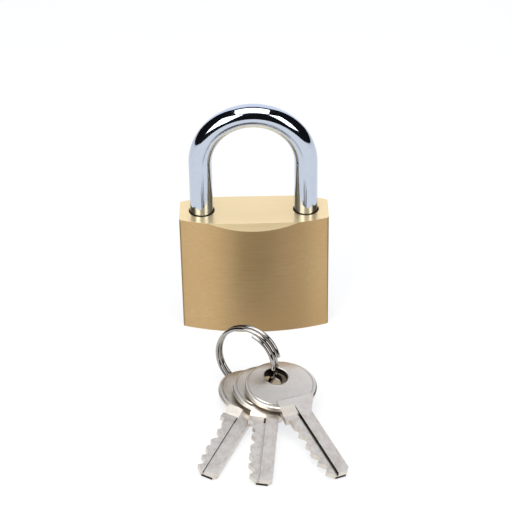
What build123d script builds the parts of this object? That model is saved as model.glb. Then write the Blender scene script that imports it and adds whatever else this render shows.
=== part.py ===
from build123d import *
from math import cos, pi, radians, sin, sqrt
import os

# A brass pin tumbler padlock with a sprung steel shackle, and its three keys on a split ring.
# Millimetres, +Z up. The origin is the centre of the body's base, and the front faces -Y.
# The lock is stored closed with its plug turned to the open side, so the latch is drawn back.

os.makedirs("parts", exist_ok=True)

# Driving sizes of the body
BODY_WIDTH = 40.0
BODY_HEIGHT = 34.4
SIDE_DEPTH = 9.4
BELLY = 3.6
CORNER_RADIUS = 0.5
BASE_EDGE = 0.3
FACET_LINE = 7.0
FACET_RUN = 1.3
FACET_DROP = 1.9

# Fits shared by the whole assembly
RUN_GAP = 0.05
PRESS_GAP = 0.01
STOP_GAP = 0.2
PIN_RECESS = 0.05

# Shackle
ROD_RADIUS = 3.1
LEG_INSET = 6.0
LEG_GAP = 0.4
LEG_ABOVE = 14.5
LEG_END_CHAMFER = 0.8
NECK_RADIUS = 2.1
HEEL_FOOT = 3.0

# Plug and its five pin stacks
PIN_COUNT = 5
PIN_PITCH = 3.4
FIRST_PIN_Z = 3.8
PIN_RADIUS = 1.3
PIN_EDGE = 0.25
PIN_TIP = 0.6
KEY_PIN_LENGTHS = (3.0, 3.6, 2.9, 3.3, 3.9)
DRIVER_LENGTH = 5.0
CHAMBER_FLOOR = 0.6
CHAMBER_PLUG_LENGTH = 2.75
PLUG_RADIUS = 5.0
PLUG_RECESS = 0.3
PLUG_END = 3.6
GROOVE_DEPTH = 0.4
GROOVE_Z = 1.6

# Retaining pins, drilled in from the back and stopping short of the front
PLUG_PIN_RADIUS = 0.5
SHACKLE_PIN_RADIUS = 1.0
SHACKLE_PIN_DROP = 3.0
PIN_FRONT_Y = -4.5
PLUG_PIN_BACK_Y = 7.6
SHACKLE_PIN_BACK_Y = 6.6

# Cam, drive pin and latch
CAM_RADIUS = 3.8
CAM_THICKNESS = 1.2
CAM_GAP = 0.2
DRIVE_PIN_RADIUS = 0.8
DRIVE_THROW = 1.7
DRIVE_ANGLE = 225.0
DRIVE_PIN_TOP_GAP = 0.2
LATCH_RISE = 7.0
LATCH_RADIUS = 2.25
LATCH_TAIL_X = -4.5
LATCH_NOSE_BEVEL = 0.8
LATCH_SLOT_GAP = 0.15
LATCH_POCKET_DEPTH = 1.5
LATCH_POCKET_RADIUS = 1.6
LATCH_BORE_END_X = -8.5
LATCH_PLUG_GAP = 0.35
NOTCH_FLOOR_GAP = 0.4
TOE_FOOT = 4.1

# Springs: mean radius, wire radius and turns of each kind
SHACKLE_SPRING = (2.3, 0.35, 3.5)
LATCH_SPRING = (1.2, 0.2, 5.0)
TUMBLER_SPRING = (0.95, 0.15, 6.0)
SPRING_SEAT_GAP = 0.05
SHACKLE_WELL_FLOOR = 2.5

# Keys
KEY_THICKNESS = 2.0
KEYWAY_GAP = 0.1
BLADE_WIDTH = 6.3
BLADE_EDGE = 2.6
BLADE_LENGTH = 20.4
TIP_BEVEL = 1.0
TIP_RAMP = 2.4
KEY_SHOULDER = 15.3
KEY_STEP = 1.25
ROOT_LINE = 8.5
ROOT_FLARE = 0.65
CUT_FLAT = 0.4
LEDGE_WIDTH = 3.1
LEDGE_DEPTH = 0.6
LEDGE_START = 11.1
LEDGE_RAMP = 1.8
BOW_HALF_WIDTH = 9.5
BOW_HALF_LENGTH = 8.6
BOW_CENTRE = 3.1
BOW_RIM = 1.3
KEY_HOLE_RADIUS = 3.15

# Places of the three keys' holes, bottom key first
LEFT_HOLE_X = 0.45
LEFT_HOLE_Y = -37.3
LEFT_HOLE_Z = 2.75
MIDDLE_HOLE_X = 3.5
MIDDLE_HOLE_Y = -38.3
MIDDLE_HOLE_Z = 5.25
RIGHT_HOLE_X = 4.9
RIGHT_HOLE_Y = -39.7
RIGHT_HOLE_Z = 7.4

# Split ring
RING_RADIUS = 8.55
RING_WIRE = 0.55
RING_PITCH = 1.55
RING_LAP = 60.0
RING_X = -2.4
RING_Y = -33.5
RING_Z = 9.45
RING_TURN = -29.9
RING_LEAN = 6.3
RING_SPLIT_ANGLE = 225.0

# Heights that follow from the driving sizes
PLUG_TOP = FIRST_PIN_Z + (PIN_COUNT - 1) * PIN_PITCH + PLUG_END
PLUG_LENGTH = PLUG_TOP - PLUG_RECESS
LATCH_Z = PLUG_TOP + LATCH_RISE
CHAMBER_RADIUS = PIN_RADIUS + RUN_GAP
BORE_RADIUS = PLUG_RADIUS + RUN_GAP
LEG_HOLE_RADIUS = ROD_RADIUS + LEG_GAP
LATCH_PLUG_LENGTH = LEG_INSET - LEG_HOLE_RADIUS - LATCH_PLUG_GAP - PIN_RECESS
SIDE_X = BODY_WIDTH / 2
LEG_X = SIDE_X - LEG_INSET
NOTCH_HALF = LATCH_RADIUS + PIN_EDGE
TOE_END = LATCH_Z - NOTCH_HALF - TOE_FOOT
TOE_HOLE_FLOOR = TOE_END - LEG_GAP
LIFT = BODY_HEIGHT - TOE_END + STOP_GAP
SHACKLE_PIN_Z = LATCH_Z - SHACKLE_PIN_DROP
SHACKLE_PIN_X = -LEG_X + NECK_RADIUS + RUN_GAP * 2 + SHACKLE_PIN_RADIUS
NECK_TOP = SHACKLE_PIN_Z + SHACKLE_PIN_RADIUS + STOP_GAP
NECK_END = SHACKLE_PIN_Z - SHACKLE_PIN_RADIUS - STOP_GAP - LIFT
HEEL_END = NECK_END - HEEL_FOOT
DRIVE_TRAVEL = DRIVE_THROW * sqrt(2)
LATCH_NOSE_X = LEG_X - ROD_RADIUS - STOP_GAP
NOTCH_FLOOR_X = LATCH_NOSE_X + DRIVE_TRAVEL + NOTCH_FLOOR_GAP
DRIVE_X = DRIVE_THROW * cos(radians(DRIVE_ANGLE))
DRIVE_Y = DRIVE_THROW * sin(radians(DRIVE_ANGLE))
DRIVE_WELL_RADIUS = DRIVE_THROW + DRIVE_PIN_RADIUS + STOP_GAP
DRIVE_PIN_TOP = LATCH_Z - DRIVE_PIN_TOP_GAP
GROOVE_RADIUS = PLUG_RADIUS - GROOVE_DEPTH
PLUG_PIN_X = -(GROOVE_RADIUS + PLUG_PIN_RADIUS + RUN_GAP * 2)
KEY_PIN_OUTER = PLUG_RADIUS - PIN_EDGE + RUN_GAP * 2
DRIVER_X = BORE_RADIUS + RUN_GAP
SPRING_X = DRIVER_X + DRIVER_LENGTH + SPRING_SEAT_GAP
CHAMBER_PLUG_X = SIDE_X - PIN_RECESS - CHAMBER_PLUG_LENGTH
KEYWAY_WIDTH = KEY_THICKNESS + 2 * KEYWAY_GAP
CUT_EDGE = -BLADE_WIDTH / 2
BACK_EDGE = CUT_EDGE + BLADE_WIDTH
BLADE_TIP = KEY_SHOULDER + BLADE_LENGTH
RING_TURNS = 2 + RING_LAP / 360
RING_START_ANGLE = RING_SPLIT_ANGLE - RING_LAP / 2


# A round cut or boss standing on a plane
def round_bar(plane, radius, length, mode=Mode.ADD):
    with Locations(plane):
        Cylinder(radius, length, align=(Align.CENTER, Align.CENTER, Align.MIN), mode=mode)


# A plane whose normal points along an axis from a given point
def facing(origin, direction):
    return Plane(origin=origin, z_dir=direction)


# One helix as biarcs of about a quarter turn, about the Z axis of a plane
def coil_line(plane, radius, pitch, turns):
    rise = pitch / (2 * pi)

    def station(angle):
        point = plane.from_local_coords(
            Vector(radius * cos(angle), radius * sin(angle), rise * angle)
        )
        along = (
            plane.x_dir * (-radius * sin(angle))
            + plane.y_dir * (radius * cos(angle))
            + plane.z_dir * rise
        )
        return point, along.normalized()

    pieces = round(4 * turns)
    swing = 2 * pi * turns / pieces
    for piece in range(pieces):
        start, start_dir = station(piece * swing)
        end, end_dir = station((piece + 1) * swing)
        chord = end - start
        lean = chord.dot(start_dir + end_dir)
        turn = 2 * (1 - start_dir.dot(end_dir))
        reach = (sqrt(lean**2 + turn * chord.dot(chord)) - lean) / turn
        first = start + start_dir * reach
        second = end - end_dir * reach
        middle = (first + second) * 0.5
        TangentArc(start, middle, tangent=start_dir)
        TangentArc(middle, end, tangent=second - first)


# Least clear gap between turns of a coil, measured on points along its centre line
def least_gap(name, path, wire_radius, turns):
    per_turn = 48
    count = round(per_turn * turns)
    points = [path @ (step / count) for step in range(count + 1)]
    far = per_turn // 2
    closest = min(
        (points[low] - points[high]).length
        for low in range(count + 1)
        for high in range(low + far, count + 1)
    )
    print(f"{name} least gap to itself {closest - 2 * wire_radius:.2f} mm")


# A wire coil from one seat to the other, made inside the open part
def coil_spring(name, seat, direction, length, sizes):
    radius, wire_radius, turns = sizes
    pitch = (length - 2 * wire_radius) / turns
    base = Plane(origin=seat, z_dir=direction).offset(wire_radius)
    with BuildLine() as line:
        coil_line(base, radius, pitch, turns)
    path = line.wire()
    with BuildSketch(Plane(origin=path @ 0, z_dir=path % 0)) as section:
        Circle(wire_radius)
    sweep(sections=section.sketch, path=path)
    least_gap(name, path, wire_radius, turns)


# Solid brass body, bored for the shackle, plug, latch, pins and retaining pins
with BuildPart() as lock_body:
    with BuildSketch(Plane.XY):
        with BuildLine():
            Line((SIDE_X, -SIDE_DEPTH / 2), (SIDE_X, SIDE_DEPTH / 2))
            ThreePointArc(
                (SIDE_X, SIDE_DEPTH / 2), (0, SIDE_DEPTH / 2 + BELLY), (-SIDE_X, SIDE_DEPTH / 2)
            )
            Line((-SIDE_X, SIDE_DEPTH / 2), (-SIDE_X, -SIDE_DEPTH / 2))
            ThreePointArc(
                (-SIDE_X, -SIDE_DEPTH / 2), (0, -SIDE_DEPTH / 2 - BELLY), (SIDE_X, -SIDE_DEPTH / 2)
            )
        make_face()
    extrude(amount=BODY_HEIGHT)
    fillet(lock_body.edges().filter_by(Axis.Z), CORNER_RADIUS)
    chamfer(lock_body.faces().sort_by(Axis.Z)[0].edges(), BASE_EDGE)
    for side in (-1, 1):
        with BuildSketch(Plane.YZ):
            with BuildLine():
                Polyline(
                    (side * FACET_LINE, BODY_HEIGHT),
                    (side * (FACET_LINE + 2 * FACET_RUN), BODY_HEIGHT - 2 * FACET_DROP),
                    (side * (FACET_LINE + 2 * FACET_RUN), BODY_HEIGHT),
                    close=True,
                )
            make_face()
        extrude(amount=SIDE_X, both=True, mode=Mode.SUBTRACT)
    top = BODY_HEIGHT
    round_bar(facing((LEG_X, 0, top), (0, 0, -1)), LEG_HOLE_RADIUS, top - TOE_HOLE_FLOOR, Mode.SUBTRACT)
    round_bar(
        facing((-LEG_X, 0, top), (0, 0, -1)), LEG_HOLE_RADIUS, top - SHACKLE_WELL_FLOOR, Mode.SUBTRACT
    )
    round_bar(Plane.XY, BORE_RADIUS, PLUG_TOP + RUN_GAP, Mode.SUBTRACT)
    round_bar(
        Plane.XY.offset(PLUG_TOP), CAM_RADIUS + CAM_GAP, CAM_THICKNESS + CAM_GAP, Mode.SUBTRACT
    )
    round_bar(Plane.XY.offset(PLUG_TOP), DRIVE_WELL_RADIUS, LATCH_RISE, Mode.SUBTRACT)
    round_bar(
        facing((LATCH_BORE_END_X, 0, LATCH_Z), (1, 0, 0)),
        LATCH_RADIUS + RUN_GAP,
        SIDE_X - LATCH_BORE_END_X,
        Mode.SUBTRACT,
    )
    for stack in range(PIN_COUNT):
        round_bar(
            facing((0, 0, FIRST_PIN_Z + stack * PIN_PITCH), (1, 0, 0)),
            CHAMBER_RADIUS,
            SIDE_X,
            Mode.SUBTRACT,
        )
    thickness = SIDE_DEPTH / 2 + BELLY
    round_bar(
        facing((SHACKLE_PIN_X, PIN_FRONT_Y - PIN_RECESS, SHACKLE_PIN_Z), (0, 1, 0)),
        SHACKLE_PIN_RADIUS + PRESS_GAP,
        thickness - PIN_FRONT_Y,
        Mode.SUBTRACT,
    )
    round_bar(
        facing((PLUG_PIN_X, PIN_FRONT_Y - PIN_RECESS, GROOVE_Z), (0, 1, 0)),
        PLUG_PIN_RADIUS + PRESS_GAP,
        thickness - PIN_FRONT_Y,
        Mode.SUBTRACT,
    )
lock_body.part.label = "lock_body"
export_step(lock_body.part, "parts/lock_body.step")

# Bent steel rod: long heel leg on the left with a turned neck, notched toe leg on the right
with BuildPart() as shackle:
    bend_z = BODY_HEIGHT + LEG_ABOVE
    with BuildLine(Plane.XZ) as rod_line:
        Line((-LEG_X, HEEL_END), (-LEG_X, bend_z))
        ThreePointArc((-LEG_X, bend_z), (0, bend_z + LEG_X), (LEG_X, bend_z))
        Line((LEG_X, bend_z), (LEG_X, TOE_END))
    with BuildSketch(Plane.XY.offset(HEEL_END)):
        with Locations((-LEG_X, 0)):
            Circle(ROD_RADIUS)
    sweep(path=rod_line.wire())
    chamfer(shackle.faces().filter_by(Axis.Z).edges(), LEG_END_CHAMFER)
    with BuildSketch(Plane.XY.offset(NECK_END)):
        with Locations((-LEG_X, 0)):
            Circle(ROD_RADIUS + STOP_GAP)
            Circle(NECK_RADIUS, mode=Mode.SUBTRACT)
    extrude(amount=NECK_TOP - NECK_END, mode=Mode.SUBTRACT)
    with BuildSketch(Plane.XY.offset(LATCH_Z - NOTCH_HALF)):
        with Locations((NOTCH_FLOOR_X, 0)):
            Rectangle(2 * ROD_RADIUS, 4 * ROD_RADIUS, align=(Align.MAX, Align.CENTER))
    extrude(amount=2 * NOTCH_HALF, mode=Mode.SUBTRACT)
shackle.part.label = "shackle"
export_step(shackle.part, "parts/shackle.step")

# Coil under the heel leg that throws the shackle up
with BuildPart() as shackle_spring:
    coil_spring(
        "shackle_spring",
        (-LEG_X, 0, SHACKLE_WELL_FLOOR + SPRING_SEAT_GAP),
        (0, 0, 1),
        HEEL_END - SHACKLE_WELL_FLOOR - 2 * SPRING_SEAT_GAP,
        SHACKLE_SPRING,
    )
shackle_spring.part.label = "shackle_spring"
export_step(shackle_spring.part, "parts/shackle_spring.step")

# Cross pin beside the heel leg's neck, which stops the lift
with BuildPart() as shackle_retaining_pin:
    round_bar(
        facing((SHACKLE_PIN_X, PIN_FRONT_Y, SHACKLE_PIN_Z), (0, 1, 0)),
        SHACKLE_PIN_RADIUS,
        SHACKLE_PIN_BACK_Y - PIN_FRONT_Y,
    )
shackle_retaining_pin.part.label = "shackle_retaining_pin"
export_step(shackle_retaining_pin.part, "parts/shackle_retaining_pin.step")

# Brass plug with stepped keyway, retaining groove and five chambers, turned to open
with BuildPart() as plug:
    round_bar(Plane.XY.offset(PLUG_RECESS), PLUG_RADIUS, PLUG_LENGTH)
    with BuildSketch(Plane.XY.offset(GROOVE_Z - PLUG_PIN_RADIUS - RUN_GAP * 2)):
        Circle(PLUG_RADIUS + RUN_GAP)
        Circle(GROOVE_RADIUS, mode=Mode.SUBTRACT)
    extrude(amount=2 * (PLUG_PIN_RADIUS + RUN_GAP * 2), mode=Mode.SUBTRACT)
    keyway_near = -(BLADE_EDGE + KEYWAY_GAP)
    keyway_far = BLADE_WIDTH - BLADE_EDGE + KEYWAY_GAP
    with BuildSketch(Plane.XY):
        with Locations((0, (keyway_near + keyway_far) / 2)):
            Rectangle(KEYWAY_WIDTH, keyway_far - keyway_near)
        with Locations((-KEYWAY_WIDTH / 2, keyway_near)):
            Rectangle(
                LEDGE_DEPTH - KEYWAY_GAP,
                LEDGE_WIDTH,
                align=(Align.MIN, Align.MIN),
                mode=Mode.SUBTRACT,
            )
    extrude(amount=PLUG_TOP, mode=Mode.SUBTRACT)
    for stack in range(PIN_COUNT):
        round_bar(
            facing((0, -CHAMBER_FLOOR, FIRST_PIN_Z + stack * PIN_PITCH), (0, -1, 0)),
            CHAMBER_RADIUS,
            PLUG_RADIUS,
            Mode.SUBTRACT,
        )
plug.part.label = "plug"
export_step(plug.part, "parts/plug.step")

# Thin pin in the plug's groove, which keeps the plug in the body
with BuildPart() as plug_retaining_pin:
    round_bar(
        facing((PLUG_PIN_X, PIN_FRONT_Y, GROOVE_Z), (0, 1, 0)),
        PLUG_PIN_RADIUS,
        PLUG_PIN_BACK_Y - PIN_FRONT_Y,
    )
plug_retaining_pin.part.label = "plug_retaining_pin"
export_step(plug_retaining_pin.part, "parts/plug_retaining_pin.step")

# Disc on the plug's inner end that carries the drive pin
with BuildPart() as tail_cam:
    round_bar(Plane.XY.offset(PLUG_TOP), CAM_RADIUS, CAM_THICKNESS)
    round_bar(
        facing((DRIVE_X, DRIVE_Y, PLUG_TOP), (0, 0, 1)),
        DRIVE_PIN_RADIUS + PRESS_GAP,
        CAM_THICKNESS,
        Mode.SUBTRACT,
    )
tail_cam.part.label = "tail_cam"
export_step(tail_cam.part, "parts/tail_cam.step")

# Steel pin off the plug's axis that slides the latch
with BuildPart() as drive_pin:
    round_bar(
        facing((DRIVE_X, DRIVE_Y, PLUG_TOP), (0, 0, 1)), DRIVE_PIN_RADIUS, DRIVE_PIN_TOP - PLUG_TOP
    )
drive_pin.part.label = "drive_pin"
export_step(drive_pin.part, "parts/drive_pin.step")

# Round latch bolt, slotted below for the drive pin and bored at its tail for a spring
with BuildPart() as latch:
    round_bar(
        facing((LATCH_TAIL_X, 0, LATCH_Z), (1, 0, 0)), LATCH_RADIUS, LATCH_NOSE_X - LATCH_TAIL_X
    )
    chamfer(latch.faces().sort_by(Axis.X)[-1].edges(), LATCH_NOSE_BEVEL)
    round_bar(
        facing((LATCH_TAIL_X, 0, LATCH_Z), (1, 0, 0)),
        LATCH_POCKET_RADIUS,
        LATCH_POCKET_DEPTH,
        Mode.SUBTRACT,
    )
    with BuildSketch(Plane.XY.offset(LATCH_Z)):
        with Locations((DRIVE_X, 0)):
            Rectangle(2 * (DRIVE_PIN_RADIUS + LATCH_SLOT_GAP), 4 * LATCH_RADIUS)
    extrude(amount=-2 * LATCH_RADIUS, mode=Mode.SUBTRACT)
latch.part.label = "latch"
export_step(latch.part, "parts/latch.step")

# Coil behind the latch
with BuildPart() as latch_spring:
    pocket_x = LATCH_TAIL_X + LATCH_POCKET_DEPTH
    coil_spring(
        "latch_spring",
        (LATCH_BORE_END_X + SPRING_SEAT_GAP, 0, LATCH_Z),
        (1, 0, 0),
        pocket_x - LATCH_BORE_END_X - 2 * SPRING_SEAT_GAP,
        LATCH_SPRING,
    )
latch_spring.part.label = "latch_spring"
export_step(latch_spring.part, "parts/latch_spring.step")

# Brass stopper that closes the latch bore in the right side
with BuildPart() as latch_bore_plug:
    round_bar(
        facing((SIDE_X - PIN_RECESS, 0, LATCH_Z), (-1, 0, 0)),
        LATCH_RADIUS + RUN_GAP - PRESS_GAP,
        LATCH_PLUG_LENGTH,
    )
latch_bore_plug.part.label = "latch_bore_plug"
export_step(latch_bore_plug.part, "parts/latch_bore_plug.step")

# Key pins in the turned plug, pointed towards its axis
for stack, pin_length in enumerate(KEY_PIN_LENGTHS):
    pin_z = FIRST_PIN_Z + stack * PIN_PITCH
    with BuildPart() as key_pin:
        round_bar(facing((0, -KEY_PIN_OUTER, pin_z), (0, 1, 0)), PIN_RADIUS, pin_length)
        chamfer(key_pin.faces().sort_by(Axis.Y)[0].edges(), PIN_EDGE)
        chamfer(key_pin.faces().sort_by(Axis.Y)[-1].edges(), PIN_TIP)
    key_pin.part.label = f"key_pin_{stack + 1}"
    export_step(key_pin.part, f"parts/key_pin_{stack + 1}.step")

# Driver pins in the body, each backed by a spring and a stopper
for stack in range(PIN_COUNT):
    pin_z = FIRST_PIN_Z + stack * PIN_PITCH
    with BuildPart() as driver_pin:
        round_bar(facing((DRIVER_X, 0, pin_z), (1, 0, 0)), PIN_RADIUS, DRIVER_LENGTH)
        chamfer(driver_pin.faces().filter_by(Axis.X).edges(), PIN_EDGE)
    driver_pin.part.label = f"driver_pin_{stack + 1}"
    export_step(driver_pin.part, f"parts/driver_pin_{stack + 1}.step")

    with BuildPart() as tumbler_spring:
        coil_spring(
            f"tumbler_spring_{stack + 1}",
            (SPRING_X, 0, pin_z),
            (1, 0, 0),
            CHAMBER_PLUG_X - SPRING_SEAT_GAP - SPRING_X,
            TUMBLER_SPRING,
        )
    tumbler_spring.part.label = f"tumbler_spring_{stack + 1}"
    export_step(tumbler_spring.part, f"parts/tumbler_spring_{stack + 1}.step")

    with BuildPart() as chamber_plug:
        round_bar(
            facing((CHAMBER_PLUG_X, 0, pin_z), (1, 0, 0)),
            CHAMBER_RADIUS - PRESS_GAP,
            CHAMBER_PLUG_LENGTH,
        )
    chamber_plug.part.label = f"chamber_plug_{stack + 1}"
    export_step(chamber_plug.part, f"parts/chamber_plug_{stack + 1}.step")

# Split ring of spring wire that runs round twice through the keys' holes
with BuildPart() as key_ring:
    lean = radians(RING_LEAN)
    facing_turn = radians(RING_TURN)
    normal = Vector(
        sin(facing_turn) * cos(lean), -cos(facing_turn) * cos(lean), sin(lean)
    )
    level = normal.cross(Vector(0, 0, 1)).normalized()
    turn_start = radians(RING_START_ANGLE)
    start_dir = level * cos(turn_start) + normal.cross(level) * sin(turn_start)
    ring_plane = Plane(origin=(RING_X, RING_Y, RING_Z), x_dir=start_dir, z_dir=normal)
    with BuildLine() as ring_line:
        coil_line(
            ring_plane.offset(-RING_PITCH * RING_TURNS / 2), RING_RADIUS, RING_PITCH, RING_TURNS
        )
    ring_path = ring_line.wire()
    with BuildSketch(Plane(origin=ring_path @ 0, z_dir=ring_path % 0)):
        Circle(RING_WIRE)
    sweep(path=ring_path)
    least_gap("key_ring", ring_path, RING_WIRE, RING_TURNS)
key_ring.part.label = "key_ring"
export_step(key_ring.part, "parts/key_ring.step")

# One key, lying flat: hole at the origin, blade along +X, cuts and milled ledge on the -Y edge
with BuildPart(mode=Mode.PRIVATE) as key_blank:
    half_thickness = KEY_THICKNESS / 2
    with BuildSketch(Plane.XY):
        with Locations((BOW_CENTRE, 0)):
            Ellipse(BOW_HALF_LENGTH, BOW_HALF_WIDTH)
    extrude(amount=half_thickness, both=True)
    crown = half_thickness - BOW_RIM / 2
    dome_radius = (BOW_HALF_WIDTH**2 + crown**2) / (2 * crown)
    for face in (-1, 1):
        with Locations((BOW_CENTRE, 0, face * (half_thickness - dome_radius))):
            Sphere(dome_radius, rotation=(90, 0, 0), mode=Mode.INTERSECT)
    with BuildSketch(Plane.XY.offset(-half_thickness)):
        with BuildLine():
            Polyline(
                (ROOT_LINE, BACK_EDGE + ROOT_FLARE),
                (LEDGE_START, BACK_EDGE),
                (BLADE_TIP - TIP_BEVEL, BACK_EDGE),
                (BLADE_TIP, BACK_EDGE - TIP_BEVEL),
                (BLADE_TIP, CUT_EDGE + TIP_RAMP),
                (BLADE_TIP - TIP_RAMP, CUT_EDGE),
                (KEY_SHOULDER, CUT_EDGE),
                (KEY_SHOULDER, CUT_EDGE - KEY_STEP),
                (ROOT_LINE, CUT_EDGE - ROOT_FLARE),
                close=True,
            )
        make_face()
        for stack, pin_length in enumerate(KEY_PIN_LENGTHS):
            cut_u = KEY_SHOULDER + FIRST_PIN_Z - PLUG_RECESS + stack * PIN_PITCH
            depth = pin_length - (KEY_PIN_OUTER - BLADE_EDGE)
            with BuildLine():
                Polyline(
                    (cut_u - CUT_FLAT - depth, CUT_EDGE),
                    (cut_u - CUT_FLAT, CUT_EDGE + depth),
                    (cut_u + CUT_FLAT, CUT_EDGE + depth),
                    (cut_u + CUT_FLAT + depth, CUT_EDGE),
                    close=True,
                )
            make_face(mode=Mode.SUBTRACT)
    extrude(amount=KEY_THICKNESS)
    with BuildSketch(Plane.XZ.offset(-(CUT_EDGE + LEDGE_WIDTH))):
        with BuildLine():
            Polyline(
                (LEDGE_START, half_thickness),
                (LEDGE_START + LEDGE_RAMP, half_thickness - LEDGE_DEPTH),
                (BLADE_TIP + TIP_BEVEL, half_thickness - LEDGE_DEPTH),
                (BLADE_TIP + TIP_BEVEL, half_thickness),
                close=True,
            )
        make_face()
    extrude(amount=BLADE_WIDTH, mode=Mode.SUBTRACT)
    round_bar(Plane.XY.offset(-KEY_THICKNESS), KEY_HOLE_RADIUS, 2 * KEY_THICKNESS, Mode.SUBTRACT)

# Three like keys fanned out on the floor: hole place, then fan, pitch and roll in degrees
KEY_PLACES = {
    "key_left": ((LEFT_HOLE_X, LEFT_HOLE_Y, LEFT_HOLE_Z), -22.4, 1.8, -10.1),
    "key_middle": ((MIDDLE_HOLE_X, MIDDLE_HOLE_Y, MIDDLE_HOLE_Z), -5.3, 6.0, -6.8),
    "key_right": ((RIGHT_HOLE_X, RIGHT_HOLE_Y, RIGHT_HOLE_Z), 24.6, 9.4, -3.3),
}
for key_name, (hole, fan, pitch, roll) in KEY_PLACES.items():
    place = Location(hole) * Rot(Z=fan - 90) * Rot(Y=pitch) * Rot(X=roll)
    with BuildPart() as key:
        with Locations(place):
            add(key_blank.part)
    key.part.label = key_name
    export_step(key.part, f"parts/{key_name}.step")
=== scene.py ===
import math

import bmesh
import bpy
from bmesh.types import BMEdge, BMVert
from mathutils import Matrix, Vector


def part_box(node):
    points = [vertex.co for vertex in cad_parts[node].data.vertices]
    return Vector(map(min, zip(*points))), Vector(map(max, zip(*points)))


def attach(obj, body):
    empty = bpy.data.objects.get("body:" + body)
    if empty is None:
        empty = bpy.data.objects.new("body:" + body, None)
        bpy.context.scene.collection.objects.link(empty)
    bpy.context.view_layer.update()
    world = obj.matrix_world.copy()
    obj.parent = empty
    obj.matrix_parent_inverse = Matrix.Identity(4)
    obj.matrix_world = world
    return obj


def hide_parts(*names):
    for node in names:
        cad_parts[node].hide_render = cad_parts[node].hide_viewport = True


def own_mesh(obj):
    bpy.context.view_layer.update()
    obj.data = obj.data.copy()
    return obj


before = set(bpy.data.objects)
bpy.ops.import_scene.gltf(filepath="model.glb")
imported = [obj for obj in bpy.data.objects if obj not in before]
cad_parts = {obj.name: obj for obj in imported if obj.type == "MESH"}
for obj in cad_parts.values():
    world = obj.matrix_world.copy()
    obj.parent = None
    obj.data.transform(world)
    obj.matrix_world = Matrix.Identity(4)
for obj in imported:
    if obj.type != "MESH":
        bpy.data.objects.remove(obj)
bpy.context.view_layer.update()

# Lock body: one length of extruded brass with a bulged front and back, sawn to height, bored
# from the top, base, right side and back, then brushed from side to side.
# The top edges are ground off into a sloping facet at front and back.
MM = 0.001
body_low, body_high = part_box("lock_body")
BODY_WIDTH = body_high.x - body_low.x
BODY_HEIGHT = body_high.z - body_low.z
SIDE_DEPTH = 9.4 * MM
BELLY = (body_high.y - body_low.y - SIDE_DEPTH) / 2
BELLY_STEPS = 72
CORNER_RADIUS = 0.5 * MM
FACET_LINE = 7.0 * MM
FACET_RUN = 1.3 * MM
FACET_DROP = 1.9 * MM
BODY_SOFT_EDGE = 0.14 * MM
BODY_SOFT_ANGLE = 24.0
LEG_X = 14.0 * MM
LEG_HOLE_RADIUS = 3.5 * MM
TOE_HOLE_FLOOR = 21.0 * MM
HEEL_HOLE_FLOOR = 2.5 * MM
PLUG_BORE_RADIUS = 5.05 * MM
PLUG_TOP = 21.0 * MM
RUN_GAP = 0.05 * MM
CAM_WELL_RADIUS = 4.0 * MM
CAM_WELL_DEPTH = 1.4 * MM
DRIVE_WELL_RADIUS = 2.7 * MM
LATCH_Z = 28.0 * MM
LATCH_BORE_RADIUS = 2.3 * MM
LATCH_BORE_END_X = -8.5 * MM
SHACKLE_PIN_FRONT = (-10.8 * MM, -4.55 * MM, 25.0 * MM)
SHACKLE_PIN_HOLE_RADIUS = 1.01 * MM
PLUG_PIN_FRONT = (-5.2 * MM, -4.55 * MM, 1.6 * MM)
PLUG_PIN_HOLE_RADIUS = 0.51 * MM
STACKS = range(1, 6)
FIRST_CHAMBER_Z = 3.8 * MM
CHAMBER_PITCH = 3.4 * MM
CHAMBER_RADIUS = 1.35 * MM
CUT_OVER = 1.0 * MM
CUT_MERGE = 0.0001 * MM


def only(kind, geometry):
    """The parts of an operator's result that are of one kind."""
    return [part for part in geometry if isinstance(part, kind)]


def close_ends(bm):
    """Fills each open rim with a flat face."""
    bmesh.ops.holes_fill(bm, edges=[edge for edge in bm.edges if edge.is_boundary])


def round_bar(start, direction, radius, length):
    """A solid round bar from a point along a direction."""
    bar = bmesh.new()
    turn = Vector((0, 0, 1)).rotation_difference(Vector(direction)).to_matrix().to_4x4()
    middle = Vector(start) + Vector(direction) * (length / 2)
    bmesh.ops.create_cone(
        bar, cap_ends=True, segments=64, radius1=radius, radius2=radius, depth=length,
        matrix=Matrix.Translation(middle) @ turn,
    )
    return bar


def combine(bm, other, operation):
    """Cuts the other solid out of bm, or joins it on, and returns the result as a new bmesh."""
    holders = []
    for shape in (bm, other):
        bmesh.ops.recalc_face_normals(shape, faces=shape.faces)
        mesh = bpy.data.meshes.new("working")
        shape.to_mesh(mesh)
        shape.free()
        holder = bpy.data.objects.new("working", mesh)
        bpy.context.scene.collection.objects.link(holder)
        holders.append(holder)
    boolean = holders[0].modifiers.new("combine", "BOOLEAN")
    boolean.operation = operation
    boolean.solver = "EXACT"
    boolean.object = holders[1]
    evaluated = holders[0].evaluated_get(bpy.context.evaluated_depsgraph_get())
    result = bmesh.new()
    result.from_mesh(evaluated.to_mesh())
    evaluated.to_mesh_clear()
    for holder in holders:
        mesh = holder.data
        bpy.data.objects.remove(holder)
        bpy.data.meshes.remove(mesh)
    return result


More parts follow.
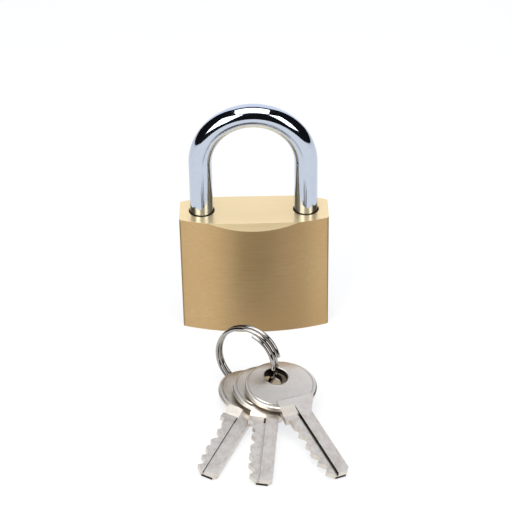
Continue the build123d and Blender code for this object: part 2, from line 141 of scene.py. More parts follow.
arc_radius = ((BODY_WIDTH / 2) ** 2 + BELLY**2) / (2 * BELLY)
arc_half = math.asin(BODY_WIDTH / 2 / arc_radius)
arc_centre = arc_radius - SIDE_DEPTH / 2 - BELLY
bm = bmesh.new()
arcs = []
for side in (-1, 1):
    first = bm.verts.new((side * BODY_WIDTH / 2, side * SIDE_DEPTH / 2, 0))
    spun = bmesh.ops.spin(
        bm, geom=[first], cent=(0, -side * arc_centre, 0), axis=(0, 0, 1), angle=2 * arc_half,
        steps=BELLY_STEPS,
    )
    arcs.append((first, only(BMVert, spun["geom_last"])[0]))
bm.edges.new((arcs[0][1], arcs[1][0]))
bm.edges.new((arcs[1][1], arcs[0][0]))
bmesh.ops.bevel(
    bm, geom=[vert for arc in arcs for vert in arc], offset=CORNER_RADIUS, offset_type="OFFSET",
    affect="VERTICES", segments=5, profile=0.5, material=-1,
)
bmesh.ops.contextual_create(bm, geom=bm.edges[:])
raised = bmesh.ops.extrude_face_region(bm, geom=bm.faces[:])["geom"]
bmesh.ops.translate(bm, vec=(0, 0, BODY_HEIGHT), verts=only(BMVert, raised))
for side in (-1, 1):
    bmesh.ops.bisect_plane(
        bm, geom=bm.verts[:] + bm.edges[:] + bm.faces[:], dist=CUT_MERGE,
        plane_co=(0, side * FACET_LINE, BODY_HEIGHT),
        plane_no=Vector((0, side * FACET_DROP, FACET_RUN)).normalized(), clear_outer=True,
    )
    close_ends(bm)
up, right, back = (0, 0, 1), (1, 0, 0), (0, 1, 0)
bores = [
    ((LEG_X, 0, TOE_HOLE_FLOOR), up, LEG_HOLE_RADIUS, BODY_HEIGHT),
    ((-LEG_X, 0, HEEL_HOLE_FLOOR), up, LEG_HOLE_RADIUS, BODY_HEIGHT),
    ((0, 0, -CUT_OVER), up, PLUG_BORE_RADIUS, CUT_OVER + PLUG_TOP + RUN_GAP),
    ((0, 0, PLUG_TOP - CUT_OVER), up, CAM_WELL_RADIUS, CUT_OVER + CAM_WELL_DEPTH),
    ((0, 0, PLUG_TOP), up, DRIVE_WELL_RADIUS, LATCH_Z - PLUG_TOP),
    ((LATCH_BORE_END_X, 0, LATCH_Z), right, LATCH_BORE_RADIUS, BODY_WIDTH),
    (SHACKLE_PIN_FRONT, back, SHACKLE_PIN_HOLE_RADIUS, BODY_WIDTH),
    (PLUG_PIN_FRONT, back, PLUG_PIN_HOLE_RADIUS, BODY_WIDTH),
]
for stack in STACKS:
    chamber_z = FIRST_CHAMBER_Z + (stack - 1) * CHAMBER_PITCH
    bores.append(((0, 0, chamber_z), right, CHAMBER_RADIUS, BODY_WIDTH))
for bore in bores:
    bm = combine(bm, round_bar(*bore), "DIFFERENCE")

# Satin brass, brushed from side to side: long fine lines that spread each reflection up and down,
# with a slow drift of tone. The sawn ends and their facets are faced, so they are smoother, and the
# faces that point up or down are painted much paler, as painted light for the brightly lit top.
LINE_LENGTH = 16.0 * MM
LINE_SPACING = 0.45 * MM  # real lines are near 0.1 mm, too fine to show
LINE_RELIEF = 0.012 * MM
DRIFT_SIZE = 14.0 * MM


def linear(hex_colour):
    """An sRGB hex value as the linear colour that a shader socket takes."""
    channels = [int(hex_colour[place:place + 2], 16) / 255 for place in (1, 3, 5)]
    curve = [c / 12.92 if c <= 0.04045 else ((c + 0.055) / 1.055) ** 2.4 for c in channels]
    return (*curve, 1.0)


def add_node(owner, kind, links=None, values=None, **settings):
    """Adds a node, sets its properties and input values, and links its inputs to given sockets."""
    node = owner.node_tree.nodes.new(kind)
    for name, value in settings.items():
        setattr(node, name, value)
    for name, value in (values or {}).items():
        node.inputs[name].default_value = value
    for name, socket in (links or {}).items():
        owner.node_tree.links.new(socket, node.inputs[name])
    return node


def new_material(name, metallic=1.0):
    """A node material and its surface shader."""
    material = bpy.data.materials.new(name)
    material.use_nodes = True
    shader = material.node_tree.nodes["Principled BSDF"]
    shader.inputs["Metallic"].default_value = metallic
    return material, shader


def finish_with(material, shader, sources):
    """Links each named input of the surface shader to the socket that feeds it."""
    for name, socket in sources.items():
        material.node_tree.links.new(socket, shader.inputs[name])


def brushed_brass(name, dull, bright, drifted, smoothest, roughest, spread):
    """Brass with lines along X. The spread is how much further reflections smear across them."""
    material, shader = new_material(name)
    place = add_node(material, "ShaderNodeTexCoord").outputs["Object"]
    stretched = add_node(
        material, "ShaderNodeMapping", {"Vector": place},
        {"Scale": (1 / LINE_LENGTH, 1 / LINE_SPACING, 1 / LINE_SPACING)},
    ).outputs["Vector"]
    lines = add_node(
        material, "ShaderNodeTexNoise", {"Vector": stretched},
        {"Scale": 1.0, "Detail": 5.0, "Roughness": 0.65},
    ).outputs["Fac"]
    drift = add_node(
        material, "ShaderNodeTexNoise", {"Vector": place}, {"Scale": 1 / DRIFT_SIZE, "Detail": 3.0}
    ).outputs["Fac"]
    line_tone = add_node(
        material, "ShaderNodeMix", {0: lines}, {6: linear(dull), 7: linear(bright)}, data_type="RGBA"
    ).outputs[2]
    drift_tone = add_node(
        material, "ShaderNodeMix", {0: drift, 6: line_tone}, {7: linear(drifted)}, data_type="RGBA"
    ).outputs[2]
    roughness = add_node(
        material, "ShaderNodeMapRange", {"Value": lines}, {"To Min": smoothest, "To Max": roughest}
    ).outputs["Result"]
    brushed_along = add_node(
        material, "ShaderNodeVectorTransform", None, {"Vector": (1, 0, 0)},
        vector_type="VECTOR", convert_from="OBJECT", convert_to="WORLD",
    ).outputs["Vector"]
    relief = add_node(
        material, "ShaderNodeBump", {"Height": lines}, {"Strength": 0.35, "Distance": LINE_RELIEF}
    ).outputs["Normal"]
    finish_with(material, shader, {
        "Base Color": drift_tone, "Roughness": roughness, "Tangent": brushed_along, "Normal": relief,
    })
    shader.inputs["Anisotropic"].default_value = spread
    shader.inputs["Anisotropic Rotation"].default_value = 0.25  # the smear lies across the lines
    return material


def new_piece(name, bm, body, material, replaced, sharp_degrees=35.0):
    """Makes a finished piece of a bmesh, smooth but for its real edges, riding on a body."""
    mesh = bpy.data.meshes.new(name)
    bmesh.ops.recalc_face_normals(bm, faces=bm.faces)
    bm.to_mesh(mesh)
    bm.free()
    mesh.shade_smooth()
    mesh.set_sharp_from_angle(angle=math.radians(sharp_degrees))
    piece = bpy.data.objects.new(name, mesh)
    bpy.context.scene.collection.objects.link(piece)
    mesh.materials.append(material)
    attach(piece, body)
    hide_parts(replaced)
    return piece


def soften_edges(piece, width, angle_degrees):
    """A fine rounded edge wherever two faces meet more sharply than the angle."""
    bevel = piece.modifiers.new("soft edge", "BEVEL")
    bevel.width = width
    bevel.segments = 2
    bevel.limit_method = "ANGLE"
    bevel.angle_limit = math.radians(angle_degrees)
    bevel.harden_normals = True


brass = brushed_brass("brushed brass", "#a88858", "#d2ba92", "#b8996b", 0.38, 0.54, 0.95)
# The faced brass's paler tones are painted light for the top that the lamps light more; its smoother
# roughness is the faced finish.
faced_brass_painted_light = brushed_brass("faced brass painted paler", "#e2cb9b", "#f8e6bf", "#ead3a6", 0.34, 0.46, 0.68)
# Faces that point up or down take the brass painted paler.
for face in bm.faces:
    faces_up_or_down = abs(face.normal.z) > 0.5
    face.material_index = 1 if faces_up_or_down else 0
body_piece = new_piece("lock_body_brass", bm, "lock_body", brass, "lock_body")
body_piece.data.materials.append(faced_brass_painted_light)
soften_edges(body_piece, BODY_SOFT_EDGE, BODY_SOFT_ANGLE)


# Stoppers: short brass rods pressed into the drilled right side, then ground flush and brushed
# over with the body, so only a fine ring shows.
def dress(node, material):
    """Gives a carried over CAD node its finish."""
    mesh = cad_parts[node].data
    mesh.materials.clear()
    mesh.materials.append(material)


for node in ["latch_bore_plug"] + [f"chamber_plug_{stack}" for stack in STACKS]:
    dress(node, brass)

# Plug and pins: turned on a lathe from brass rod. The plug turns in the bore from the base, and the
# key pins and driver pins slide in chambers that are drilled in from the right side.
TOOL_MARK = 0.25 * MM
TOOL_RELIEF = 0.01 * MM


def grained_metal(name, dull, bright, grain_size, detail, smoothest, roughest=None, attribute=None):
    """Metal that a fine noise mottles between two tones. Returns it, its shader and the noise.

    The noise sets the roughness too where a roughest value is given. It lies in Object coordinates,
    or in a piece's own attribute.
    """
    material, shader = new_material(name)
    if attribute:
        place = add_node(material, "ShaderNodeAttribute", attribute_name=attribute).outputs["Vector"]
    else:
        place = add_node(material, "ShaderNodeTexCoord").outputs["Object"]
    grain = add_node(
        material, "ShaderNodeTexNoise", {"Vector": place}, {"Scale": 1 / grain_size, "Detail": detail}
    ).outputs["Fac"]
    tone = add_node(
        material, "ShaderNodeMix", {0: grain}, {6: linear(dull), 7: linear(bright)}, data_type="RGBA"
    ).outputs[2]
    finish_with(material, shader, {"Base Color": tone})
    shader.inputs["Roughness"].default_value = smoothest
    if roughest:
        roughness = add_node(
            material, "ShaderNodeMapRange", {"Value": grain}, {"To Min": smoothest, "To Max": roughest}
        ).outputs["Result"]
        finish_with(material, shader, {"Roughness": roughness})
    return material, shader, grain


# Turned brass: a warm yellow, half bright, with the fine marks of the tool.
turned_brass, shader, tool_marks = grained_metal("turned brass", "#b98f4e", "#d6b577", TOOL_MARK, 2.0, 0.3)
relief = add_node(
    turned_brass, "ShaderNodeBump", {"Height": tool_marks}, {"Strength": 0.2, "Distance": TOOL_RELIEF}
).outputs["Normal"]
finish_with(turned_brass, shader, {"Normal": relief})
for node in ["plug"] + [f"{kind}_pin_{stack}" for kind in ("key", "driver") for stack in STACKS]:
    dress(node, turned_brass)

# Latch, cam, drive pin and retaining pins: steel. The cam and its drive pin sit on the plug's inner
# end and draw the latch along its bore. The retaining pins are pressed in from the back.
# Ground steel is a plain grey with a fine grain that blurs it unevenly.
ground_steel, *_ = grained_metal("ground steel", "#9a9a9c", "#c2c2c2", 0.3 * MM, 3.0, 0.2, 0.4)
for node in ("latch", "tail_cam", "drive_pin", "shackle_retaining_pin", "plug_retaining_pin"):
    dress(node, ground_steel)

# Springs: coiled from drawn steel wire, smooth and a little dark from the drawing.
# One stands under the heel leg, one behind the latch and one behind each driver pin, which presses it.
TUMBLER_RADIUS = 0.95 * MM
TUMBLER_WIRE = 0.15 * MM
TUMBLER_TURNS = 6
TUMBLER_STEPS = 144


def wound_wire(radius, wire_radius, pitch, turns, steps, segments):
    """A coil of round wire about Z, with its middle at the origin and its ends closed."""
    coil = bmesh.new()
    start = Matrix.Translation((radius, 0, -pitch * turns / 2)) @ Matrix.Rotation(math.pi / 2, 4, "X")
    bmesh.ops.create_circle(coil, cap_ends=False, segments=segments, radius=wire_radius, matrix=start)
    bmesh.ops.spin(
        coil, geom=coil.edges[:], cent=(0, 0, 0), axis=(0, 0, 1), angle=2 * math.pi * turns, steps=steps,
        dvec=(0, 0, pitch * turns / steps),
    )
    close_ends(coil)
    return coil


spring_steel, *_ = grained_metal("drawn spring wire", "#77777a", "#a9a9aa", 0.5 * MM, 2.0, 0.28)
for node in ("shackle_spring", "latch_spring"):
    dress(node, spring_steel)
for stack in STACKS:
    node = f"tumbler_spring_{stack}"
    spring_low, spring_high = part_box(node)
    length = spring_high.x - spring_low.x
    pitch = (length - 2 * TUMBLER_WIRE) / TUMBLER_TURNS
    bm = wound_wire(TUMBLER_RADIUS, TUMBLER_WIRE, pitch, TUMBLER_TURNS, TUMBLER_STEPS, segments=12)
    lie = Matrix.Translation((spring_low + spring_high) / 2) @ Matrix.Rotation(math.pi / 2, 4, "Y")
    bmesh.ops.transform(bm, matrix=lie, verts=bm.verts)
    spring = new_piece(node + "_wire", bm, "lock_body", spring_steel, node)
    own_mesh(spring)

# Shackle: a hardened steel rod bent to a U over a former, turned down to a neck on the long leg,
# notched for the latch on the short leg, polished and chrome plated.
shackle_low, shackle_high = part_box("shackle")
ROD_RADIUS = (shackle_high.y - shackle_low.y) / 2
ROD_SEGMENTS = 64
BEND_STEPS = 96
END_CHAMFER = 0.8 * MM
END_RADIUS = ROD_RADIUS - END_CHAMFER
HEEL_END = shackle_low.z
NECK_RADIUS = 2.1 * MM
NECK_BOTTOM = HEEL_END + 3.0 * MM
NECK_TOP = 26.2 * MM
TOE_END = 21.4 * MM
NOTCH_FLOOR_X = 13.5 * MM
NOTCH_HALF = 2.5 * MM
BEND_Z = shackle_high.z - LEG_X - ROD_RADIUS
ROD_SOFT_EDGE = 0.15 * MM
ROD_SOFT_ANGLE = 40.0


def draw_leg(bm, ring, leg_x, stations):
    """Draws a ring out through stations of height and radius, the first its own, to the last ring."""
    height, radius = stations[0]
    to_axis = Matrix.Translation((-leg_x, 0, 0))
    for next_height, next_radius in stations[1:]:
        grown = bmesh.ops.extrude_edge_only(bm, edges=ring)["geom"]
        verts = only(BMVert, grown)
        ring = only(BMEdge, grown)
        scale = next_radius / radius
        bmesh.ops.scale(bm, vec=(scale, scale, 1), verts=verts, space=to_axis)
        bmesh.ops.translate(bm, vec=(0, 0, next_height - height), verts=verts)
        height, radius = next_height, next_radius
    return ring


bm = bmesh.new()
bmesh.ops.create_circle(
    bm, cap_ends=False, segments=ROD_SEGMENTS, radius=END_RADIUS,
    matrix=Matrix.Translation((-LEG_X, 0, HEEL_END)),
)
heel_top = draw_leg(bm, bm.edges[:], -LEG_X, [
    (HEEL_END, END_RADIUS), (HEEL_END + END_CHAMFER, ROD_RADIUS), (NECK_BOTTOM, ROD_RADIUS),
    (NECK_BOTTOM, NECK_RADIUS), (NECK_TOP, NECK_RADIUS), (NECK_TOP, ROD_RADIUS), (BEND_Z, ROD_RADIUS),
])
bend = bmesh.ops.spin(
    bm, geom=heel_top, cent=(0, 0, BEND_Z), axis=(0, 1, 0), angle=math.pi, steps=BEND_STEPS
)
draw_leg(bm, only(BMEdge, bend["geom_last"]), LEG_X, [
    (BEND_Z, ROD_RADIUS), (TOE_END + END_CHAMFER, ROD_RADIUS), (TOE_END, END_RADIUS),
])
close_ends(bm)
notch = bmesh.new()
bmesh.ops.create_cube(
    notch, size=1.0,
    matrix=Matrix.Translation((NOTCH_FLOOR_X - ROD_RADIUS, 0, LATCH_Z))
    @ Matrix.Diagonal((2 * ROD_RADIUS, 4 * ROD_RADIUS, 2 * NOTCH_HALF, 1)),
)
bm = combine(bm, notch, "DIFFERENCE")

# Chrome plate on polished steel: a cool mirror that the polishing left a little uneven.
chrome, *_ = grained_metal("chrome plated steel", "#bac3d2", "#c5cdda", 1.5 * MM, 4.0, 0.035, 0.10)
shackle_piece = new_piece("shackle_rod", bm, "shackle", chrome, "shackle")
soften_edges(shackle_piece, ROD_SOFT_EDGE, ROD_SOFT_ANGLE)

# Keys: blanked from brass sheet, the bow coined to a pillow with a fine line inside its rim,
# the blade milled with a step on one side and cut with notches, then nickel plated.
# One is shaped with its hole at the origin and its blade along X, and laid three times on the ring.
KEY_HALF = 1.0 * MM
HOLE_RADIUS = 3.0 * MM
HOLE_ROUND = 0.3 * MM
BOW_CENTRE = 3.1 * MM
BOW_HALF_LENGTH = 8.6 * MM
BOW_HALF_WIDTH = 9.5 * MM
BOW_REACH = BOW_HALF_LENGTH - HOLE_RADIUS
BOW_RIM_HALF = 0.62 * MM
BOW_SEGMENTS = 112
RIM_ROUND = 0.36 * MM
ROUND_STEPS = 14
PILLOW_START = 0.3
PILLOW_SPREADS = (0.2, 0.35, 0.5, 0.65, 0.78, 0.84)
RIM_LINE_SPREADS = (0.855, 0.87)
RIM_LINE_END = 0.885
RIM_LINE_DEPTH = 0.14 * MM
CUT_EDGE = -3.15 * MM
BACK_EDGE = 3.15 * MM
BLADE_TIP = 35.7 * MM
TIP_BEVEL = 1.0 * MM
TIP_RAMP = 2.4 * MM
TIP_SHEAR = -0.3 * MM
SHOULDER = 15.3 * MM
SHOULDER_STEP = 1.25 * MM
ROOT_LINE = 8.5 * MM
ROOT_FLARE = 0.65 * MM
NECK_WIDE = 6.1 * MM
NECK_WIDE_LINE = 9.5 * MM
NECK_END = 13.6 * MM
NECK_STEP = 0.4 * MM
BORDER_WIDTH = 0.24 * MM
BORDER_FLOOR = 0.58 * MM
CUT_FLAT = 0.4 * MM
CUT_DEPTHS = (0.75 * MM, 1.35 * MM, 0.65 * MM, 1.05 * MM, 1.65 * MM)
FIRST_CUT = SHOULDER + 3.5 * MM
LEDGE_LINE = -0.05 * MM
LEDGE_DEPTH = 0.6 * MM
LEDGE_FLOOR = KEY_HALF - LEDGE_DEPTH
LEDGE_START = 10.6 * MM
LEDGE_RAMP = 3.0 * MM
CREASE_WIDTH = 0.5 * MM
CREASE_FLOOR = LEDGE_FLOOR - 0.45 * MM
CREASE_TOP = LEDGE_FLOOR + 0.1 * MM
KEY_SHARP_ANGLE = 9.0
KEY_SOFT_EDGE = 0.09 * MM
KEY_SOFT_ANGLE = 32.0


def bow_ring(spread, level):
    """Place of one ring of the bow: spread 0 is the hole's edge and 1 is the outline."""
    long_radius = HOLE_RADIUS + BOW_REACH * spread
    wide_radius = HOLE_RADIUS + (BOW_HALF_WIDTH - HOLE_RADIUS) * spread
    shift = Matrix.Translation((BOW_CENTRE * spread, 0, level))
    return shift @ Matrix.Diagonal((long_radius, wide_radius, 1, 1))


def pillow(spread):
    """Height of the coined face above the key's middle plane."""
    return KEY_HALF - (KEY_HALF - BOW_RIM_HALF) * (PILLOW_START + (1 - PILLOW_START) * spread) ** 2


def prism(corners, along):
    """A solid with a flat outline, drawn out along a vector."""
    solid = bmesh.new()
    solid.faces.new([solid.verts.new(corner) for corner in corners])
    grown = bmesh.ops.extrude_face_region(solid, geom=solid.faces[:])["geom"]
    bmesh.ops.translate(solid, vec=along, verts=only(BMVert, grown))
    return solid


# The bow's section runs from the hole's upper edge over the face to the rim and back below, and the
# bridge at the end is the wall of the hole.
hole_spread = HOLE_ROUND / BOW_REACH
rim_spread = 1 - RIM_ROUND / BOW_REACH
quarter = [math.radians(90 * step / ROUND_STEPS) for step in range(ROUND_STEPS + 1)]
upper = [
    (hole_spread * (1 - math.cos(turn)), pillow(hole_spread) - HOLE_ROUND * (1 - math.sin(turn)))
    for turn in quarter
]
upper += [(spread, pillow(spread)) for spread in PILLOW_SPREADS]
upper += [(spread, pillow(spread) - RIM_LINE_DEPTH) for spread in RIM_LINE_SPREADS]
upper += [(RIM_LINE_END, pillow(RIM_LINE_END))]
upper += [
    (rim_spread + (1 - rim_spread) * math.sin(turn), pillow(rim_spread) - RIM_ROUND * (1 - math.cos(turn)))
    for turn in quarter
]
lower = [(spread, -level) for spread, level in reversed(upper)]
bow = bmesh.new()
before = bow_ring(*upper[0])
bmesh.ops.create_circle(bow, cap_ends=False, segments=BOW_SEGMENTS, radius=1.0, matrix=before)
ring = bow.edges[:]
for spread, level in upper[1:] + lower:
    grown = bmesh.ops.extrude_edge_only(bow, edges=ring)["geom"]
    ring = only(BMEdge, grown)
    after = bow_ring(spread, level)
    bmesh.ops.transform(bow, matrix=after @ before.inverted(), verts=only(BMVert, grown))
    before = after
bmesh.ops.bridge_loops(bow, edges=[edge for edge in bow.edges if edge.is_boundary])

outline = [
    (ROOT_LINE, NECK_WIDE), (NECK_WIDE_LINE, NECK_WIDE), (NECK_END, BACK_EDGE + NECK_STEP),
    (NECK_END, BACK_EDGE), (BLADE_TIP - TIP_BEVEL, BACK_EDGE), (BLADE_TIP, BACK_EDGE - TIP_BEVEL),
    (BLADE_TIP, CUT_EDGE + TIP_RAMP), (BLADE_TIP - TIP_RAMP, CUT_EDGE), (SHOULDER, CUT_EDGE),
    (SHOULDER, CUT_EDGE - SHOULDER_STEP), (ROOT_LINE, CUT_EDGE - ROOT_FLARE),
]
blade = prism([(along, across, -KEY_HALF) for along, across in outline], (0, 0, 2 * KEY_HALF))
for cut, depth in enumerate(CUT_DEPTHS):
    middle = FIRST_CUT + cut * CHAMBER_PITCH
    floor_line = CUT_EDGE + depth
    below = depth + CUT_OVER
    notch_outline = [
        (middle - CUT_FLAT - below, floor_line - below), (middle - CUT_FLAT, floor_line),
        (middle + CUT_FLAT, floor_line), (middle + CUT_FLAT + below, floor_line - below),
    ]
    notch_corners = [(along, across, -2 * KEY_HALF) for along, across in notch_outline]
    blade = combine(blade, prism(notch_corners, (0, 0, 4 * KEY_HALF)), "DIFFERENCE")
ledge_outline = [
    (LEDGE_START - LEDGE_RAMP, KEY_HALF + LEDGE_DEPTH), (LEDGE_START + LEDGE_RAMP, LEDGE_FLOOR),
    (BLADE_TIP + TIP_BEVEL, LEDGE_FLOOR), (BLADE_TIP + TIP_BEVEL, KEY_HALF + LEDGE_DEPTH),
]
crease_outline = [
    (LEDGE_START + LEDGE_RAMP, CREASE_TOP), (SHOULDER, CREASE_FLOOR),
    (BLADE_TIP + TIP_BEVEL, CREASE_FLOOR), (BLADE_TIP + TIP_BEVEL, CREASE_TOP),
]
for milled_outline, width in ((ledge_outline, 3 * CUT_EDGE), (crease_outline, -CREASE_WIDTH)):
    milled_corners = [(along, LEDGE_LINE, height) for along, height in milled_outline]
    blade = combine(blade, prism(milled_corners, (0, width, 0)), "DIFFERENCE")
key_shape = combine(blade, bow, "UNION")
border_outline = [
    (ROOT_LINE - BORDER_WIDTH, CUT_EDGE - ROOT_FLARE), (ROOT_LINE - BORDER_WIDTH, NECK_WIDE),
    (ROOT_LINE, NECK_WIDE), (ROOT_LINE, CUT_EDGE - ROOT_FLARE),
]
border = prism([(along, across, BORDER_FLOOR) for along, across in border_outline], (0, 0, KEY_HALF))
key_shape = combine(key_shape, border, "DIFFERENCE")

# Satin nickel: a warm grey, softly blurred, with short fine scratches and darker handling marks,
# which are fainter on the bow. The patterns follow each key by its own attribute.
SCRATCH_LENGTH = 2.5 * MM
SCRATCH_WIDTH = 0.16 * MM
SCRATCH_RELIEF = 0.012 * MM
HANDLING_SIZE = 1.8 * MM
nickel, shader = new_material("satin nickel plate")
own_place = add_node(nickel, "ShaderNodeAttribute", attribute_name="key_place").outputs["Vector"]
scratch_place = add_node(
    nickel, "ShaderNodeMapping", {"Vector": own_place},
    {"Scale": (1 / SCRATCH_LENGTH, 1 / SCRATCH_WIDTH, 1 / SCRATCH_WIDTH)},
).outputs["Vector"]
scratches = add_node(
    nickel, "ShaderNodeTexNoise", {"Vector": scratch_place}, {"Scale": 1.0, "Detail": 4.0}
).outputs["Fac"]
handling = add_node(
    nickel, "ShaderNodeTexNoise", {"Vector": own_place},
    {"Scale": 1 / HANDLING_SIZE, "Detail": 6.0, "Roughness": 0.65},
).outputs["Fac"]
tone = add_node(
    nickel, "ShaderNodeMix", {0: scratches}, {6: linear("#d0cac1"), 7: linear("#e6e0d8")},
    data_type="RGBA",
).outputs[2]
along_key = add_node(nickel, "ShaderNodeSeparateXYZ", {"Vector": own_place}).outputs["X"]
rubbed = add_node(
    nickel, "ShaderNodeMapRange", {"Value": along_key},
    {"From Min": ROOT_LINE, "From Max": SHOULDER, "To Min": 0.25, "To Max": 1.0},
).outputs["Result"]
wear = add_node(
    nickel, "ShaderNodeMapRange", {"Value": handling, "To Max": rubbed},
    {"From Min": 0.42, "From Max": 0.66},
).outputs["Result"]
worn = add_node(
    nickel, "ShaderNodeMix", {0: wear, 6: tone}, {7: linear("#c8beb3")}, data_type="RGBA"
).outputs[2]
roughness = add_node(
    nickel, "ShaderNodeMapRange", {"Value": scratches}, {"To Min": 0.25, "To Max": 0.37}
).outputs["Result"]
relief = add_node(
    nickel, "ShaderNodeBump", {"Height": scratches}, {"Strength": 0.2, "Distance": SCRATCH_RELIEF}
).outputs["Normal"]
finish_with(nickel, shader, {"Base Color": worn, "Roughness": roughness, "Normal": relief})

# Bare cut metal, painted nearly black as shade: painted shade in the hole, at the foot of the milled
# step and in the border line, and a painted dark reflection of the shadowed floor on the lower half
# of the sheared tip, which is a rough cut face.
cut_metal_painted_shade, *_ = grained_metal(
    "cut metal painted dark for shade", "#1f1b18", "#463e37", 0.8 * MM, 3.0, 0.5, attribute="key_place"
)

TIP_SLACK = 0.02 * MM
HOLE_SLACK = 0.03 * MM
FACE_SLACK = 0.01 * MM
STEP_TOP = KEY_HALF - 0.05 * MM
# Where the painted shade at the foot of the milled step begins.
STEP_SHADE_START = SHOULDER - 1.0 * MM
tip = [face for face in key_shape.faces if face.calc_center_median().x > BLADE_TIP - TIP_SLACK]
tip_edges = list({edge for face in tip for edge in face.edges})
tip_verts = list({vert for face in tip for vert in face.verts})
bmesh.ops.bisect_plane(
    key_shape, geom=tip_verts + tip_edges + tip, dist=CUT_MERGE, plane_co=(0, 0, TIP_SHEAR),
    plane_no=(0, 0, 1),
)
own = key_shape.verts.layers.float_vector.new("key_place")
for vert in key_shape.verts:
    vert[own] = vert.co
# Faces that take the painted shade: the hole, the step's foot, the border line and the tip's lower half.
for face in key_shape.faces:
    middle = face.calc_center_median()
    in_hole = middle.xy.length < HOLE_RADIUS + HOLE_SLACK
    in_step = (
        LEDGE_LINE - CREASE_WIDTH - FACE_SLACK < middle.y < LEDGE_LINE + FACE_SLACK
        and 0 < middle.z < STEP_TOP and middle.x > STEP_SHADE_START
        and (abs(face.normal.y) > 0.5 or middle.z < LEDGE_FLOOR - FACE_SLACK)
    )
    at_tip = middle.x > BLADE_TIP - TIP_SLACK and middle.z < TIP_SHEAR
    in_border = (
        ROOT_LINE - BORDER_WIDTH - FACE_SLACK < middle.x < ROOT_LINE + FACE_SLACK
        and middle.z > 0 and abs(middle.y) < NECK_WIDE
        and (abs(face.normal.x) > 0.8 or middle.z < BORDER_FLOOR + FACE_SLACK)
    )
    face.material_index = 1 if in_hole or in_step or at_tip or in_border else 0

# Each key: where its hole lies, and by how many degrees it is fanned, pitched and rolled.
key_places = {
    "key_left": ((0.45 * MM, -37.3 * MM, 2.75 * MM), -22.4, 1.8, -10.1),
    "key_middle": ((3.5 * MM, -38.3 * MM, 5.25 * MM), -5.3, 6.0, -6.8),
    "key_right": ((4.9 * MM, -39.7 * MM, 7.4 * MM), 24.6, 9.4, -3.3),
}
for node, (hole, fan, pitch, roll) in key_places.items():
    bm = key_shape.copy()
    lay = (
        Matrix.Translation(hole)
        @ Matrix.Rotation(math.radians(fan - 90), 4, "Z")
        @ Matrix.Rotation(math.radians(pitch), 4, "Y")
        @ Matrix.Rotation(math.radians(roll), 4, "X")
    )
    bmesh.ops.transform(bm, matrix=lay, verts=bm.verts)
    key_piece = new_piece(node + "_nickel", bm, node, nickel, node, KEY_SHARP_ANGLE)
    # The second material is the cut metal painted dark for shade.
    key_piece.data.materials.append(cut_metal_painted_shade)
    soften_edges(key_piece, KEY_SOFT_EDGE, KEY_SOFT_ANGLE)
key_shape.free()

# Split ring: spring wire wound twice round, flat ground at its ends and bright nickel plated.
# It runs through the keys' holes and stands up between them.
RING_RADIUS = 8.55 * MM
RING_WIRE = 0.55 * MM
RING_PITCH = 1.55 * MM
RING_LAP = 60.0
RING_TURNS = 2 + RING_LAP / 360
RING_STEPS = 216
RING_CENTRE = Vector((-2.4 * MM, -33.5 * MM, 9.45 * MM))
RING_TURN = math.radians(-29.9)
RING_LEAN = math.radians(6.3)
RING_START = math.radians(225 - RING_LAP / 2)
RING_SOFT_EDGE = 0.12 * MM
RING_SOFT_ANGLE = 60.0
bm = wound_wire(RING_RADIUS, RING_WIRE, RING_PITCH, RING_TURNS, RING_STEPS, segments=24)
ring_axis = Vector((
    math.sin(RING_TURN) * math.cos(RING_LEAN), -math.cos(RING_TURN) * math.cos(RING_LEAN),
    math.sin(RING_LEAN),
))
level = ring_axis.cross(Vector((0, 0, 1))).normalized()
stand = Matrix((level, ring_axis.cross(level), ring_axis)).transposed().to_4x4()
place_ring = Matrix.Translation(RING_CENTRE) @ stand @ Matrix.Rotation(RING_START, 4, "Z")
bmesh.ops.transform(bm, matrix=place_ring, verts=bm.verts)

# Bright nickel: a warm grey mirror, rubbed a little uneven by the keys.
bright_nickel, *_ = grained_metal("bright nickel wire", "#97938f", "#bbb7b3", 1.2 * MM, 3.0, 0.05, 0.13)
ring_piece = new_piece("key_ring_wire", bm, "key_ring", bright_nickel, "key_ring")
soften_edges(ring_piece, RING_SOFT_EDGE, RING_SOFT_ANGLE)

# Studio: a sheet of white paper that ends below the camera, a softbox above, one at each side of
# the camera and a pale panel behind. All else is dark, as the chrome shows in the photo.
PAPER_FRONT = -0.45
PAPER_BACK = 1.2
PAPER_HALF_WIDTH = 1.0
floor_mesh = bpy.data.meshes.new("floor")
bm = bmesh.new()
bmesh.ops.create_grid(
    bm, x_segments=1, y_segments=1, size=1.0,
    matrix=Matrix.Translation((0, (PAPER_FRONT + PAPER_BACK) / 2, 0))
    @ Matrix.Diagonal((PAPER_HALF_WIDTH, (PAPER_BACK - PAPER_FRONT) / 2, 1, 1)),
)
bm.to_mesh(floor_mesh)
bm.free()
floor = bpy.data.objects.new("floor", floor_mesh)
bpy.context.scene.collection.objects.link(floor)

# Matt paper: grey in the light of the lamps, with a glow that only the camera, mirrors and glass see.
# Together they show white with a pale shadow, and the metal mirrors the same white.
paper, shader = new_material("white paper", metallic=0.0)
rays = add_node(paper, "ShaderNodeLightPath").outputs
seen_or_mirrored = add_node(
    paper, "ShaderNodeMath", {0: rays["Is Camera Ray"], 1: rays["Is Glossy Ray"]}, operation="MAXIMUM"
).outputs["Value"]
glow = add_node(
    paper, "ShaderNodeMath", {0: seen_or_mirrored, 1: rays["Is Transmission Ray"]}, operation="MAXIMUM"
).outputs["Value"]
shader.inputs["Base Color"].default_value = linear("#908e86")
shader.inputs["Roughness"].default_value = 1.0
shader.inputs["Specular IOR Level"].default_value = 0.0
shader.inputs["Emission Color"].default_value = linear("#dddfe4")
finish_with(paper, shader, {"Emission Strength": glow})
floor_mesh.materials.append(paper)

world = bpy.data.worlds.new("studio")
bpy.context.scene.world = world
world.use_nodes = True
background = world.node_tree.nodes["Background"]
background.inputs["Color"].default_value = linear("#17181a")
background.inputs["Strength"].default_value = 1.0

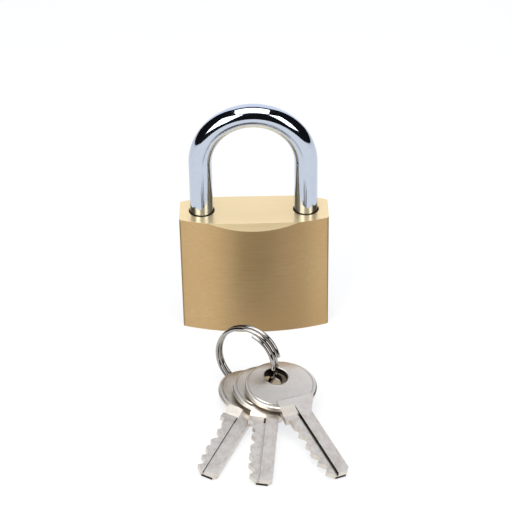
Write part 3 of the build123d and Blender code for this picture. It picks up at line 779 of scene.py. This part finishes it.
# Each softbox: its place, the point that it faces, its width and height, its tint and its brightness,
# where 1 would show as white in a mirror.
softboxes = {
    "overhead": ((0.0, -0.14, 0.70), (0.0, -0.14, 0.0), (0.56, 0.62), "#ffffff", 3.6),
    "left front": ((-0.44, -0.545, 0.45), (0.0, 0.0, 0.05), (0.54, 0.50), "#ffffff", 3.9),
    "right front": ((0.50, -0.48, 0.46), (0.0, 0.0, 0.05), (0.33, 0.50), "#ffffff", 4.2),
    "panel behind": ((0.0, 0.95, 0.78), (0.0, 0.0, 0.78), (1.45, 1.55), "#f2f5ff", 1.25),
}
for name, (spot, aim, (width, height), tint, brightness) in softboxes.items():
    light = bpy.data.lights.new(name, "AREA")
    light.shape = "RECTANGLE"
    light.size = width
    light.size_y = height
    light.color = linear(tint)[:3]
    light.energy = math.pi * width * height * brightness
    lamp = bpy.data.objects.new(name, light)
    bpy.context.scene.collection.objects.link(lamp)
    lamp.location = spot
    lamp.rotation_euler = (Vector(aim) - Vector(spot)).to_track_quat("-Z", "Y").to_euler()

# Camera: a long lens, a good way above the lock and looking down at it, turned by a degree as in
# the photograph.
CAMERA_ELEVATION = math.radians(32.75)
CAMERA_ROLL = math.radians(-0.986)
CAMERA_DISTANCE = 464.54 * MM
CAMERA_TARGET = Vector((0.37 * MM, 0, 19.51 * MM))
back_axis = Vector((0, -math.cos(CAMERA_ELEVATION), math.sin(CAMERA_ELEVATION)))
level_axis = Vector((1, 0, 0))
up_axis = back_axis.cross(level_axis)
right_axis = math.cos(CAMERA_ROLL) * level_axis + math.sin(CAMERA_ROLL) * up_axis
turned_up = math.cos(CAMERA_ROLL) * up_axis - math.sin(CAMERA_ROLL) * level_axis
camera = bpy.data.cameras.new("camera")
camera.lens = 119.38
camera.sensor_width = 36.0
camera.clip_start = 0.01
viewer = bpy.data.objects.new("camera", camera)
bpy.context.scene.collection.objects.link(viewer)
turn = Matrix((right_axis, turned_up, back_axis)).transposed().to_4x4()
viewer.matrix_world = Matrix.Translation(CAMERA_TARGET + CAMERA_DISTANCE * back_axis) @ turn
bpy.context.scene.camera = viewer
bpy.context.scene.view_settings.view_transform = "Standard"
